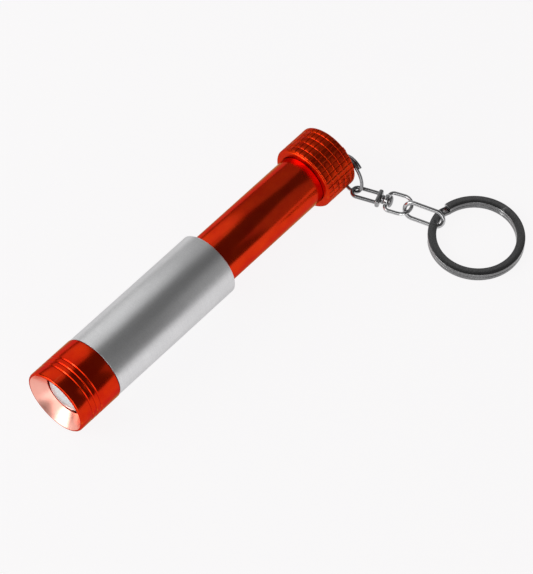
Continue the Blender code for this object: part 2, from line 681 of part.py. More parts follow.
def main():
    """Build every sub-part from the beam end to the key ring."""
    clear_scene()
    axis_place = Vector((-TUBE_FRONT, 0.0, AXIS_HEIGHT))
    build_head(add_empty("sleeve_slide_axis", axis_place))
    build_tube(add_empty("tube_axis", axis_place))
    build_cap(add_empty("cap_twist_axis", Vector((-CAP_START, 0.0, AXIS_HEIGHT))))
    build_small_ring(add_empty("small_ring_swing_axis", lug_hole()))
    build_bail(add_empty("bail_swing_axis", swivel_axes()[0]))
    build_loop(add_empty("loop_turn_axis", swivel_axes()[0] + LOOP_BAR * swivel_axes()[1]))
    build_link(add_empty("link_swing_axis", loop_contact()[0]))
    build_key_ring(add_empty("key_ring_swing_axis", link_end()))


main()
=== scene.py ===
"""Looks of a telescopic keychain flashlight: anodised pieces, a satin sleeve, a lens and a ring chain.

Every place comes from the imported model: the torch's axis from its head, the chain's places from its joints.
The torch's and the chain's sizes are in millimetres, which MM turns into metres. The studio's are in metres.
"""

import json
import logging
import math
from collections.abc import Callable, Sequence
from dataclasses import dataclass, field
from enum import Enum

import bpy
from mathutils import Matrix, Quaternion, Vector


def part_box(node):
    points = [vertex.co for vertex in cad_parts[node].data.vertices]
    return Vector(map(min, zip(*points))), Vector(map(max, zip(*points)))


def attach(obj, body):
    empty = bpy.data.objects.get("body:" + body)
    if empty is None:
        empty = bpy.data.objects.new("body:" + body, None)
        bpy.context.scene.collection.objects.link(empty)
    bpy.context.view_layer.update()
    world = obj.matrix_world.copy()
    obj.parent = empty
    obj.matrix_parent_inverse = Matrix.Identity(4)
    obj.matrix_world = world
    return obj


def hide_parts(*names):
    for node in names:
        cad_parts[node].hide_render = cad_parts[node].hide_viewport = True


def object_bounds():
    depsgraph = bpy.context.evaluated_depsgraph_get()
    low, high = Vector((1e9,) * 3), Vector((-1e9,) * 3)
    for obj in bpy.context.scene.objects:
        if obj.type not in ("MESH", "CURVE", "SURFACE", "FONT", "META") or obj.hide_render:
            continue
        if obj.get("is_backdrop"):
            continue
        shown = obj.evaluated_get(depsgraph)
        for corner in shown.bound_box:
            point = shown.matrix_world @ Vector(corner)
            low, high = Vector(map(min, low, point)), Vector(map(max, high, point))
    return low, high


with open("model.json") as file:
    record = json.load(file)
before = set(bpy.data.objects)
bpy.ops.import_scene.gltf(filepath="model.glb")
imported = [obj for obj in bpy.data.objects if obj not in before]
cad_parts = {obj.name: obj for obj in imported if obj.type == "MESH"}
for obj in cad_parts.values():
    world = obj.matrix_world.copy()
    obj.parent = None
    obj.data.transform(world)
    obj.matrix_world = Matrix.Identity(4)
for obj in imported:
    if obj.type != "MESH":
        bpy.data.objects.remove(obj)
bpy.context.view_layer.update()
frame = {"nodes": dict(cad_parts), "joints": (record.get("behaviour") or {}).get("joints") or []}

MM = 0.001
SMOOTH_ANGLE = math.radians(32.0)
MERGE_DISTANCE = 0.002 * MM
LOG = logging.getLogger("keychain_flashlight")

Profile = Sequence[tuple[float, float]]
Triple = tuple[float, float, float]


class Slot(Enum):
    """Material slots of the record; each new piece names one."""

    ORANGE = "orange_anodised"
    SATIN = "satin_aluminium"
    BRIGHT = "bright_nickel"
    DARK = "dark_nickel"
    LENS = "clear_lens"


class Combining(Enum):
    """What is done with a second closed piece."""

    JOIN = "UNION"
    CUT = "DIFFERENCE"


# ---------------------------------------------------------------------------- shader arithmetic


class Value:
    """A shader socket that takes part in ordinary arithmetic. Each operator adds one Math node."""

    def __init__(self, sheet: "Sheet", socket: bpy.types.NodeSocket) -> None:
        """Wrap a socket.

        Args:
            sheet: The sheet of nodes that the socket is on.
            socket: The output to read.
        """
        self.sheet = sheet
        self.socket = socket

    def _math(self, operation: str, first: object, second: object) -> "Value":
        """Return a Math node's result on two values.

        Args:
            operation: The Math node's operation.
            first: A value or a number.
            second: A value or a number.

        Returns:
            The node's output.
        """
        return self.sheet.node("ShaderNodeMath", {"operation": operation}, {0: first, 1: second})

    def __add__(self, other: object) -> "Value":
        """Return the sum."""
        return self._math("ADD", self, other)

    def __radd__(self, other: object) -> "Value":
        """Return the sum with a number on the left."""
        return self._math("ADD", other, self)

    def __mul__(self, other: object) -> "Value":
        """Return the product."""
        return self._math("MULTIPLY", self, other)

    def __rmul__(self, other: object) -> "Value":
        """Return the product with a number on the left."""
        return self._math("MULTIPLY", other, self)


class Sheet:
    """The node sheet of one material, with a Principled shader at its end."""

    def __init__(self, name: str) -> None:
        """Start a material.

        Args:
            name: The material's name.
        """
        self.material = bpy.data.materials.new(name)
        self.material.use_nodes = True
        self.tree = self.material.node_tree
        self.shader = self.tree.nodes["Principled BSDF"]

    def node(
        self, kind: str, settings: dict[str, object], inputs: dict[object, object], output: object = 0
    ) -> Value:
        """Add a node, set it up and feed its sockets.

        Args:
            kind: The node's type.
            settings: Properties of the node, set before its sockets.
            inputs: Numbers, tuples or values for its sockets, by name or number.
            output: Name or number of the output to return.

        Returns:
            The wanted output.
        """
        made = self.tree.nodes.new(kind)
        for name, setting in settings.items():
            setattr(made, name, setting)
        for name, given in inputs.items():
            if isinstance(given, Value):
                self.tree.links.new(given.socket, made.inputs[name])
            else:
                made.inputs[name].default_value = given
        return Value(self, made.outputs[output])

    def place(self, stretch: Triple) -> Value:
        """Return object coordinates in millimetres, stretched along each axis.

        Args:
            stretch: How often a pattern repeats for each millimetre along X, Y and Z.

        Returns:
            The stretched coordinates.
        """
        here = self.node("ShaderNodeTexCoord", {}, {}, "Object")
        scale = tuple(share / MM for share in stretch)
        return self.node("ShaderNodeMapping", {"vector_type": "POINT"}, {"Vector": here, "Scale": scale})

    def noise(self, stretch: Triple, detail: float = 3.0) -> Value:
        """Return noise from 0 to 1 at a pitch that may differ along each axis.

        Args:
            stretch: Noise cells for each millimetre along X, Y and Z.
            detail: Octaves of finer noise.

        Returns:
            The noise.
        """
        inputs = {"Vector": self.place(stretch), "Scale": 1.0, "Detail": detail, "Roughness": 0.55}
        return self.node("ShaderNodeTexNoise", {}, inputs, "Fac")

    def band(self, value: Value, low: float, high: float) -> Value:
        """Return a value stretched so that low becomes 0 and high becomes 1, and held between them.

        Args:
            value: The value to stretch.
            low: What becomes 0.
            high: What becomes 1.

        Returns:
            The stretched value.
        """
        inputs = {"Value": value, "From Min": low, "From Max": high}
        return self.node("ShaderNodeMapRange", {"clamp": True}, inputs)

    def mix(self, factor: Value, first: object, second: object) -> Value:
        """Return a colour between two others.

        Args:
            factor: 0 for the first and 1 for the second.
            first: A colour value or four numbers.
            second: A colour value or four numbers.

        Returns:
            The mixed colour.
        """
        inputs = {0: factor, 6: first, 7: second}
        return self.node("ShaderNodeMix", {"data_type": "RGBA"}, inputs, 2)

    def worn_edge(self, start: float, full: float) -> Value:
        """Return how much a point lies on an outer edge, from 0 to 1.

        Args:
            start: Pointiness where an edge starts.
            full: Pointiness on a sharp edge.

        Returns:
            The edge mask.
        """
        return self.band(self.node("ShaderNodeNewGeometry", {}, {}, "Pointiness"), start, full)

    def bump(self, height: Value, distance: float, strength: float) -> Value:
        """Return normals tilted by a height.

        Args:
            height: The height, from 0 to 1.
            distance: The height of 1, in millimetres.
            strength: The share of the tilt that is kept.

        Returns:
            The normals.
        """
        inputs = {"Height": height, "Distance": distance * MM, "Strength": strength}
        return self.node("ShaderNodeBump", {}, inputs)

    def fix(self, **constants: object) -> None:
        """Set the shader's own sockets. An underscore in a name stands for a space."""
        for name, constant in constants.items():
            self.shader.inputs[name.replace("_", " ")].default_value = constant

    def feed(self, socket: str, value: Value) -> None:
        """Link a value to one of the shader's sockets."""
        self.tree.links.new(value.socket, self.shader.inputs[socket])


def opaque(colour: Triple) -> tuple[float, float, float, float]:
    """Return a colour with full cover."""
    return (*colour, 1.0)


# ---------------------------------------------------------------------------- finishes


@dataclass(frozen=True)
class Anodised:
    """Dyed, clear anodised aluminium with fine turning marks and slightly paler edges.

    The metal takes the grazing tint where it is seen at a flat angle.
    """

    name: str
    colour: Triple
    deep: Triple
    edge: Triple
    roughness: float
    lines_per_mm: float = 11.0
    line_height: float = 0.0012
    coat: float = 0.08
    coat_roughness: float = 0.12
    coat_ior: float = 1.5
    grazing: Triple = (0.6, 0.42, 0.12)
    line_tone: float = 0.25
    edge_tone: float = 0.45

    def make(self) -> bpy.types.Material:
        """Return the material."""
        sheet = Sheet(self.name)
        lines = sheet.noise((self.lines_per_mm, 0.03, 0.03), 4.0)
        clouds = sheet.noise((0.25, 0.3, 0.3), 2.0)
        grain = sheet.noise((30.0, 30.0, 30.0), 1.0)
        dye = sheet.mix(sheet.band(clouds, 0.3, 0.7), opaque(self.deep), opaque(self.colour))
        marked = sheet.mix(sheet.band(lines, 0.35, 0.75) * self.line_tone, dye, opaque(self.deep))
        worn = sheet.worn_edge(0.52, 0.62) * sheet.band(grain, 0.3, 0.7)
        sheet.feed("Base Color", sheet.mix(worn * self.edge_tone, marked, opaque(self.edge)))
        sheet.feed("Roughness", self.roughness + lines * 0.06 + worn * 0.1)
        sheet.feed("Normal", sheet.bump(lines + grain * 0.25, self.line_height, 0.6))
        sheet.fix(Metallic=1.0, Specular_Tint=opaque(self.grazing))
        sheet.fix(Coat_Weight=self.coat, Coat_Roughness=self.coat_roughness, Coat_IOR=self.coat_ior)
        return sheet.material


@dataclass(frozen=True)
class SatinMetal:
    """Bead-blasted and clear anodised aluminium: a fine even grain over faint turning marks.

    Grazing is the share of light that it returns where it is seen at a flat angle.
    """

    name: str
    colour: Triple
    shade: Triple
    roughness: float
    grazing: float = 0.7
    relief: float = 0.009

    def make(self) -> bpy.types.Material:
        """Return the material."""
        sheet = Sheet(self.name)
        grain = sheet.noise((14.0, 14.0, 14.0), 2.0)
        mottle = sheet.noise((3.2, 3.2, 3.2), 2.0)
        lines = sheet.noise((7.0, 0.05, 0.05), 3.0)
        clouds = sheet.noise((0.12, 0.4, 0.4), 2.0)
        tone = sheet.band(grain * 0.25 + mottle * 0.35 + lines * 0.2 + clouds * 0.2, 0.36, 0.64)
        sheet.feed("Base Color", sheet.mix(tone, opaque(self.shade), opaque(self.colour)))
        sheet.feed("Roughness", self.roughness + grain * 0.08)
        sheet.feed("Normal", sheet.bump(grain * 0.5 + mottle + lines * 0.4, self.relief, 0.5))
        sheet.fix(Metallic=1.0, Specular_Tint=opaque((self.grazing,) * 3))
        return sheet.material


@dataclass(frozen=True)
class Plated:
    """Nickel plate on steel: soft waves left by tumbling, hairline scratches and rubbed edges."""

    name: str
    colour: Triple
    dull: Triple
    edge: Triple
    roughness: float
    wave_height: float = 0.006

    def make(self) -> bpy.types.Material:
        """Return the material."""
        sheet = Sheet(self.name)
        waves = sheet.noise((1.4, 1.4, 1.4), 2.0)
        hairs = sheet.noise((0.8, 18.0, 2.0), 4.0)
        spots = sheet.noise((3.0, 3.0, 3.0), 3.0)
        scratched = sheet.band(hairs, 0.6, 0.75)
        tone = sheet.mix(sheet.band(spots, 0.35, 0.65), opaque(self.dull), opaque(self.colour))
        worn = sheet.worn_edge(0.52, 0.6) * sheet.band(spots, 0.25, 0.6)
        sheet.feed("Base Color", sheet.mix(worn, tone, opaque(self.edge)))
        sheet.feed("Roughness", self.roughness + scratched * 0.12 + spots * 0.06)
        sheet.feed("Normal", sheet.bump(waves + scratched * 0.04, self.wave_height, 0.7))
        sheet.fix(Metallic=1.0)
        return sheet.material


@dataclass(frozen=True)
class ClearPlastic:
    """Polished clear plastic, with the finest haze from wiping.

    Clearness is the share of light that goes through it.
    """

    name: str
    tint: Triple
    clearness: float
    ior: float = 1.49
    gloss: float = 0.4
    gloss_roughness: float = 0.02

    def make(self) -> bpy.types.Material:
        """Return the material."""
        sheet = Sheet(self.name)
        haze = sheet.noise((2.0, 2.0, 2.0), 3.0)
        sheet.feed("Roughness", 0.015 + sheet.band(haze, 0.45, 0.8) * 0.03)
        sheet.fix(Base_Color=opaque(self.tint), IOR=self.ior, Transmission_Weight=self.clearness)
        sheet.fix(Coat_Weight=self.gloss, Coat_Roughness=self.gloss_roughness)
        return sheet.material


@dataclass(frozen=True)
class Plain:
    """A simple inner finish with a grain, a tone that varies and a little relief."""

    name: str
    colour: Triple
    shade: Triple
    roughness: float
    metallic: float = 0.0
    grain_per_mm: float = 6.0

    def make(self) -> bpy.types.Material:
        """Return the material."""
        sheet = Sheet(self.name)
        pitch = self.grain_per_mm
        grain = sheet.noise((pitch, pitch, pitch), 3.0)
        sheet.feed("Base Color", sheet.mix(grain, opaque(self.shade), opaque(self.colour)))
        sheet.feed("Roughness", self.roughness + grain * 0.1)
        sheet.feed("Normal", sheet.bump(grain, 0.01, 0.4))
        sheet.fix(Metallic=self.metallic)
        return sheet.material


ORANGE = Anodised(
    "orange_anodised_finish", colour=(0.7, 0.028, 0.0004), deep=(0.6, 0.014, 0.0003),
    edge=(0.85, 0.18, 0.06), roughness=0.18,
)
ORANGE_GRIP = Anodised(
    "orange_grip_finish", colour=(0.68, 0.032, 0.0006), deep=(0.54, 0.016, 0.0004),
    edge=(0.78, 0.12, 0.03), roughness=0.27,
)
ORANGE_CUT = Anodised(
    "orange_bright_cut_finish", colour=(0.92, 0.46, 0.38), deep=(0.9, 0.4, 0.32), edge=(0.94, 0.55, 0.46),
    roughness=0.28, lines_per_mm=7.0, line_height=0.001, coat=0.4, grazing=(0.9, 0.5, 0.4),
)
SATIN = SatinMetal("satin_aluminium_finish", (0.79, 0.79, 0.795), (0.64, 0.64, 0.648), 0.34)
# A darker copy of the bright nickel: painted shade, standing for the dark room that the small ring, the bail
# and the rivet reflect.
NICKEL_PAINTED_SHADE = Plated("nickel_painted_shade_finish", (0.3, 0.3, 0.305), (0.2, 0.2, 0.205), (0.6, 0.6, 0.6), 0.16)
BRIGHT = Plated("bright_nickel_finish", (0.52, 0.52, 0.525), (0.38, 0.38, 0.385), (0.85, 0.85, 0.85), 0.12)
DARK = Plated("dark_nickel_finish", (0.18, 0.18, 0.182), (0.12, 0.12, 0.122), (0.62, 0.62, 0.62), 0.17, 0.003)
LENS = ClearPlastic("clear_lens_finish", (0.93, 0.95, 0.955), 0.55)
RUBBER = Plain("black_rubber_finish", (0.025, 0.025, 0.025), (0.012, 0.012, 0.012), 0.6)
NYLON = Plain("black_nylon_finish", (0.04, 0.04, 0.04), (0.02, 0.02, 0.02), 0.42)
BOARD = Plain("white_board_finish", (0.85, 0.85, 0.83), (0.74, 0.74, 0.72), 0.4)
PHOSPHOR = Plain("yellow_phosphor_finish", (0.88, 0.74, 0.16), (0.78, 0.6, 0.08), 0.3)
BRASS = Plain("brass_contact_finish", (0.72, 0.5, 0.2), (0.55, 0.36, 0.12), 0.25, 1.0)
JACKET = Plain("cell_jacket_finish", (0.08, 0.09, 0.12), (0.05, 0.05, 0.07), 0.3)


# ---------------------------------------------------------------------------- the bench


def deselect() -> None:
    """Leave edit mode and deselect every object."""
    active = bpy.context.view_layer.objects.active
    if active and active.mode != "OBJECT":
        bpy.ops.object.mode_set(mode="OBJECT")
    bpy.ops.object.select_all(action="DESELECT")


@dataclass(frozen=True)
class Axis:
    """A line to turn a piece about. A station is the distance along it, in millimetres."""

    start: Vector
    back: Vector

    def at(self, station: float) -> Vector:
        """Return the point at a station."""
        return self.start + self.back * (station * MM)


class Workpiece:
    """One mesh on the bench. It starts as a primitive and grows by edit-mode operators."""

    def __init__(self, name: str) -> None:
        """Name the piece.

        Args:
            name: The finished object's name.
        """
        self.name = name
        self.body: bpy.types.Object | None = None

    def _take_up(self) -> None:
        """Name the primitive just added, move its place into its mesh and start to edit it."""
        self.body = bpy.context.object
        self.body.name = self.name
        self.body.data.name = self.name
        bpy.ops.object.transform_apply(location=True, rotation=True, scale=True)
        bpy.ops.object.mode_set(mode="EDIT")
        bpy.ops.mesh.select_all(action="SELECT")

    def ring(self, centre: Vector, facing: Vector, radius: float, sides: int) -> None:
        """Add an open ring of edges.

        Args:
            centre: Its middle.
            facing: The direction that it faces.
            radius: Its radius in metres.
            sides: How many edges it has.
        """
        deselect()
        turn = facing.to_track_quat("Z", "Y").to_euler()
        bpy.ops.mesh.primitive_circle_add(
            vertices=sides, radius=radius, fill_type="NOTHING", location=centre, rotation=turn
        )
        self._take_up()

    def block(self, place: Matrix, size: Vector) -> None:
        """Add a block.

        Args:
            place: Its middle and its axes.
            size: Its edges in metres.
        """
        deselect()
        bpy.ops.mesh.primitive_cube_add(
            size=1.0, location=place.translation, rotation=place.to_euler(), scale=size
        )
        self._take_up()

    def turn(self, axis: Axis, profile: Profile, sides: int) -> None:
        """Draw a profile out of a first ring, one extrusion and one resize for each of its points.

        Args:
            axis: The line to turn about.
            profile: Stations and radii in millimetres. A radius of 0 closes the piece in a point.
            sides: Sides of the turned piece.
        """
        station, radius = profile[0]
        self.ring(axis.at(station), axis.back, radius * MM, sides)
        for next_station, next_radius in profile[1:]:
            step = axis.back * ((next_station - station) * MM)
            bpy.ops.mesh.extrude_region_move(TRANSFORM_OT_translate={"value": step})
            if next_radius == 0.0:
                bpy.ops.mesh.merge(type="CENTER")
                return
            if next_radius != radius:
                ratio = next_radius / radius
                bpy.ops.transform.resize(value=(ratio,) * 3, center_override=axis.at(next_station))
            station, radius = next_station, next_radius

    def select_faces(self, wanted: Callable[[bpy.types.MeshPolygon], bool]) -> None:
        """Select the faces that a test on a face accepts, and nothing else.

        Args:
            wanted: Takes a mesh polygon and says whether it is wanted.
        """
        bpy.ops.mesh.select_mode(type="FACE")
        bpy.ops.mesh.select_all(action="DESELECT")
        bpy.ops.object.mode_set(mode="OBJECT")
        for polygon in self.body.data.polygons:
            polygon.select = wanted(polygon)
        bpy.ops.object.mode_set(mode="EDIT")

    def select_edges(self, wanted: Callable[[Vector, Vector], bool]) -> None:
        """Select the edges that a test on their two ends accepts, and nothing else.

        Args:
            wanted: Takes the places of an edge's ends and says whether it is wanted.
        """
        bpy.ops.mesh.select_mode(type="EDGE")
        bpy.ops.mesh.select_all(action="DESELECT")
        bpy.ops.object.mode_set(mode="OBJECT")
        ends = self.body.data.vertices
        for edge in self.body.data.edges:
            edge.select = wanted(*(ends[index].co for index in edge.vertices))
        bpy.ops.object.mode_set(mode="EDIT")

    def close(self) -> None:
        """Merge doubles, fill open ends and point every face outwards, then leave edit mode."""
        bpy.ops.mesh.select_mode(type="VERT")
        bpy.ops.mesh.select_all(action="SELECT")
        bpy.ops.mesh.remove_doubles(threshold=MERGE_DISTANCE)
        bpy.ops.mesh.fill_holes(sides=0)
        bpy.ops.mesh.normals_make_consistent(inside=False)
        bpy.ops.object.mode_set(mode="OBJECT")

    def apply(self, kind: str, **settings: object) -> None:
        """Add a modifier with some settings and apply it.

        Args:
            kind: The modifier's type.
            settings: Its properties.
        """
        deselect()
        bpy.context.view_layer.objects.active = self.body
        self.body.select_set(True)
        modifier = self.body.modifiers.new(kind.lower(), kind)
        for name, setting in settings.items():
            setattr(modifier, name, setting)
        bpy.ops.object.modifier_apply(modifier=modifier.name)

    def round_edges(self, width: float, segments: int = 2, angle: float = 28.0) -> None:
        """Round every edge that is sharper than an angle.

        Args:
            width: Width of the rounding in millimetres.
            segments: Facets across the rounding.
            angle: The least angle that counts as an edge, in degrees.
        """
        self.apply(
            "BEVEL", width=width * MM, segments=segments, limit_method="ANGLE",
            angle_limit=math.radians(angle), use_clamp_overlap=True,
        )

    def combine(self, other: "Workpiece", how: Combining) -> None:
        """Join another closed piece to this one, or cut it away.

        Args:
            other: The other piece, which is used up.
            how: What is done with it.
        """
        self.apply("BOOLEAN", operation=how.value, object=other.body, solver="EXACT")
        bpy.data.objects.remove(other.body, do_unlink=True)

    def drill(self, axis: Axis, front: float, back: float, radius: float, sides: int) -> None:
        """Drill a hole.

        Args:
            axis: The drill's line.
            front: The station where the drill starts, in millimetres.
            back: The station where it ends.
            radius: The hole's radius in millimetres.
            sides: Sides of the hole.
        """
        bit = Workpiece(f"{self.name}_drill")
        bit.turn(axis, [(front, radius), (back, radius)], sides)
        bit.close()
        self.combine(bit, Combining.CUT)

    def hand_over(self, body: str, node: str, slot: Slot, *finishes: bpy.types.Material) -> None:
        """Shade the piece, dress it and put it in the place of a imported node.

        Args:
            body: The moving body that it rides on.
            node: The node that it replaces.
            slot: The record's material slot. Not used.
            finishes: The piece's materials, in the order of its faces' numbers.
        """
        deselect()
        bpy.context.view_layer.objects.active = self.body
        self.body.select_set(True)
        bpy.ops.object.shade_smooth_by_angle(angle=SMOOTH_ANGLE)
        for finish in finishes:
            self.body.data.materials.append(finish)
        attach(self.body, body)
        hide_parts(node)
        deselect()
        LOG.info("%s stands for %s on %s", self.name, node, body)


class Wire(Workpiece):
    """A section that is led through straight runs and arcs, as wire is bent on a jig."""

    def __init__(self, name: str, start: Vector, heading: Vector, flat: Vector) -> None:
        """Set the jig.

        Args:
            name: The finished object's name.
            start: Where the wire starts.
            heading: The direction that it sets off in.
            flat: The normal of the plane that it is bent in.
        """
        super().__init__(name)
        self.place = start.copy()
        self.heading = heading.normalized()
        self.flat = flat.normalized()

    def round_section(self, radius: float, sides: int = 20) -> None:
        """Start with a round section, whose radius is in millimetres."""
        self.ring(self.place, self.heading, radius * MM, sides)

    def flat_section(self, width: float, height: float, corner: float) -> None:
        """Start with an oblong section with rounded corners.

        Args:
            width: Its width in the plane of bending, in millimetres.
            height: Its height across that plane, in millimetres.
            corner: The corners' radius in millimetres.
        """
        deselect()
        side = self.flat.cross(self.heading)
        turn = Matrix((side, self.flat, side.cross(self.flat))).transposed().to_euler()
        bpy.ops.mesh.primitive_plane_add(size=1.0, location=self.place, rotation=turn)
        bpy.context.object.scale = (width * MM, height * MM, 1.0)
        self._take_up()
        bpy.ops.mesh.delete(type="ONLY_FACE")
        bpy.ops.mesh.select_all(action="SELECT")
        bpy.ops.mesh.bevel(affect="VERTICES", offset=corner * MM, segments=3)
        bpy.ops.mesh.select_all(action="SELECT")

    def run(self, length: float) -> None:
        """Lead the wire straight on by a length in millimetres."""
        step = self.heading * (length * MM)
        bpy.ops.mesh.extrude_region_move(TRANSFORM_OT_translate={"value": step})
        self.place += step

    def bend(self, radius: float, angle: float, steps: int, climb: float = 0.0) -> None:
        """Lead the wire round an arc.

        Args:
            radius: The arc's radius in millimetres.
            angle: The turn in degrees, to the left of the heading where positive.
            steps: How many steps it is made in.
            climb: How far the arc rises along the plane's normal, in millimetres.
        """
        left = self.flat.cross(self.heading)
        centre = self.place + left * math.copysign(radius * MM, angle)
        part = math.radians(angle) / steps
        for _ in range(steps):
            # With no window the operator turns the other way round, so the angle's sign is changed.
            bpy.ops.mesh.spin(steps=1, angle=-part, center=centre, axis=self.flat)
            if climb:
                bpy.ops.transform.translate(value=self.flat * (climb * MM / steps))
        turn = Quaternion(self.flat, math.radians(angle))
        self.place = centre + turn @ (self.place - centre) + self.flat * (climb * MM)
        self.heading = turn @ self.heading


def dress(node: str, finish: bpy.types.Material) -> None:
    """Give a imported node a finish.

    Args:
        node: The node's name.
        finish: Its new material.
    """
    piece = frame["nodes"][node]
    piece.data.materials.clear()
    piece.data.materials.append(finish)
    LOG.info("%s is dressed in %s", node, finish.name)


def joint(name: str) -> tuple[Vector, Vector]:
    """Return a joint's place and axis."""
    found = next(entry for entry in frame["joints"] if entry["name"] == name)
    return Vector(found.get("pos_m") or (0.0, 0.0, 0.0)), Vector(found["axis"]).normalized()


# ---------------------------------------------------------------------------- the torch


def torch_axis() -> Axis:
    """Return the torch's axis, from the middle of its front rim backwards."""
    low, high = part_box("bezel_head")
    return Axis(Vector((high.x, (low.y + high.y) / 2, (low.z + high.z) / 2)), Vector((-1.0, 0.0, 0.0)))


def station_of(axis: Axis, x: float) -> float:
    """Return the station of a place along X, in millimetres."""
    return (axis.start.x - x) / MM


@dataclass
class ZoomHead:
    """The sliding end: the anodised head, its lens and the satin sleeve."""

    axis: Axis
    sides: int = 160
    radius: float = 9.0
    rim: Profile = ((0.04, 8.6), (0.1, 8.76), (0.24, 8.9), (0.5, 9.0))
    head_rounding: float = 0.03
    edge_break: float = 0.2
    mouth: float = 8.36
    mouth_depth: float = 3.35
    mouth_margin: float = 0.02
    lens_hole: float = 5.9
    hole_margin: float = 0.1
    web: float = 0.4
    bore: float = 7.7
    skirt_length: float = 3.8
    grooves: tuple[float, ...] = (3.9, 5.4, 6.9)
    groove_depth: float = 0.2
    groove_half: float = 0.25
    groove_floor: float = 0.05
    sleeve_radius: float = 8.88
    sleeve_chamfer: float = 0.05
    sleeve_break: float = 0.3
    sleeve_rounding: float = 0.04
    neck_radius: float = 8.25
    joint_gap: float = 0.12
    lip_length: float = 2.96
    lip_bore: float = 7.25
    dome_radius: float = 5.6
    dome_base: float = 4.2
    dome_steps: int = 22
    flange_front: float = 4.65
    lens_sides: int = 96
    lens_rounding: float = 0.08

    def build_head(self) -> None:
        """Turn the head with its grooves, wide mouth and thread skirt."""
        low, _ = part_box("bezel_head")
        end = station_of(self.axis, low.x)
        skirt = end - self.skirt_length
        web_back = self.mouth_depth + self.web
        profile = list(self.rim)
        for groove in self.grooves:
            profile += [
                (groove - self.groove_half, self.radius),
                (groove - self.groove_floor, self.radius - self.groove_depth),
                (groove + self.groove_floor, self.radius - self.groove_depth),
                (groove + self.groove_half, self.radius),
            ]
        profile += [
            (end - self.edge_break, self.radius), (end, self.radius - self.edge_break),
            (end, self.neck_radius + self.joint_gap), (skirt, self.neck_radius + self.joint_gap),
            (skirt, self.bore), (web_back, self.bore), (web_back, self.lens_hole),
            (self.mouth_depth, self.lens_hole), (self.rim[0][0], self.mouth), self.rim[0],
        ]
        piece = Workpiece("anodised_head")
        piece.turn(self.axis, profile, self.sides)
        piece.close()
        piece.round_edges(self.head_rounding)
        for polygon in piece.body.data.polygons:
            reach = polygon.center - self.axis.start
            radius = math.hypot(reach.y, reach.z) / MM
            inside = self.lens_hole - self.hole_margin < radius < self.mouth + self.mouth_margin
            ahead = -reach.x < (self.mouth_depth + self.mouth_margin) * MM
            polygon.material_index = int(inside and ahead)
        piece.hand_over("zoom_head", "bezel_head", Slot.ORANGE, ORANGE.make(), ORANGE_CUT.make())

    def build_sleeve(self) -> None:
        """Turn the sleeve with its neck, its plain outside and the lip at its end."""
        low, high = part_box("outer_sleeve")
        start, end = station_of(self.axis, high.x), station_of(self.axis, low.x)
        head_low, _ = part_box("bezel_head")
        shoulder = station_of(self.axis, head_low.x) + self.joint_gap
        radius, chamfer = self.sleeve_radius, self.sleeve_chamfer
        profile = [
            (start, self.neck_radius), (shoulder, self.neck_radius), (shoulder, radius - chamfer),
            (shoulder + chamfer, radius), (end - self.sleeve_break, radius),
            (end, radius - self.sleeve_break), (end, self.lip_bore),
            (end - self.lip_length, self.lip_bore), (end - self.lip_length, self.bore),
            (start, self.bore), (start, self.neck_radius),
        ]
        piece = Workpiece("satin_sleeve")
        piece.turn(self.axis, profile, self.sides)
        piece.close()
        piece.round_edges(self.sleeve_rounding)
        piece.hand_over("zoom_head", "outer_sleeve", Slot.SATIN, SATIN.make())

    def build_lens(self) -> None:
        """Turn the domed lens with the flange that the head grips."""
        low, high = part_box("lens")
        front, back = station_of(self.axis, high.x), station_of(self.axis, low.x)
        flange, rise = (high.y - low.y) / 2 / MM, self.dome_base - front
        profile = [(back, flange), (self.flange_front, flange), (self.flange_front, self.dome_radius)]
        for step in range(self.dome_steps):
            angle = math.pi / 2 * (1 - step / self.dome_steps)
            profile.append((self.dome_base - rise * math.cos(angle), self.dome_radius * math.sin(angle)))
        profile.append((front, 0.0))
        piece = Workpiece("domed_lens")
        piece.turn(self.axis, profile, self.lens_sides)
        piece.close()
        piece.round_edges(self.lens_rounding)
        piece.hand_over("zoom_head", "lens", Slot.LENS, LENS.make())

    def build(self) -> None:
        """Build and dress every piece of the head."""
        self.build_head()
        self.build_sleeve()
        self.build_lens()
        dress("lens_gasket", RUBBER.make())
        dress("lens_retainer", NYLON.make())


@dataclass
class BatteryTube:
    """The fixed middle: the anodised tube and what it holds."""

    axis: Axis
    sides: int = 144
    radius: float = 7.0
    edge_break: float = 0.2
    rounding: float = 0.06
    bore: float = 5.6
    ring_floor: float = 6.6
    ring_stations: tuple[float, ...] = (48.1, 51.45)
    ring_half: float = 0.7
    shoulder: float = 91.0
    neck: float = 6.3
    seal_station: float = 92.8
    seal_floor: float = 6.0
    seal_half: float = 0.6

    def build(self) -> None:
        """Turn the tube and dress the pieces in it."""
        low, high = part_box("battery_tube")
        start, end = station_of(self.axis, high.x), station_of(self.axis, low.x)
        nose = (start, self.radius - self.edge_break)
        profile = [nose, (start + self.edge_break, self.radius)]
        for ring in self.ring_stations:
            profile += [
                (ring - self.ring_half, self.radius), (ring - self.ring_half, self.ring_floor),
                (ring + self.ring_half, self.ring_floor), (ring + self.ring_half, self.radius),
            ]
        first, last = self.seal_station - self.seal_half, self.seal_station + self.seal_half
        profile += [
            (self.shoulder, self.radius), (self.shoulder, self.neck), (first, self.neck),
            (first, self.seal_floor), (last, self.seal_floor), (last, self.neck),
            (end, self.neck), (end, self.bore), (start, self.bore), nose,
        ]
        piece = Workpiece("anodised_tube")
        piece.turn(self.axis, profile, self.sides)
        piece.close()
        piece.round_edges(self.rounding)
        piece.hand_over("barrel", "battery_tube", Slot.ORANGE, ORANGE.make())
        for node, finish in (
            ("friction_ring", RUBBER), ("stop_ring", BRIGHT), ("seal_ring", RUBBER), ("led_holder", NYLON),
            ("led_board", BOARD), ("led_package", BOARD), ("led_dome", PHOSPHOR),
            ("positive_contact", BRASS), ("aaa_cell", JACKET),
        ):
            dress(node, finish.make())


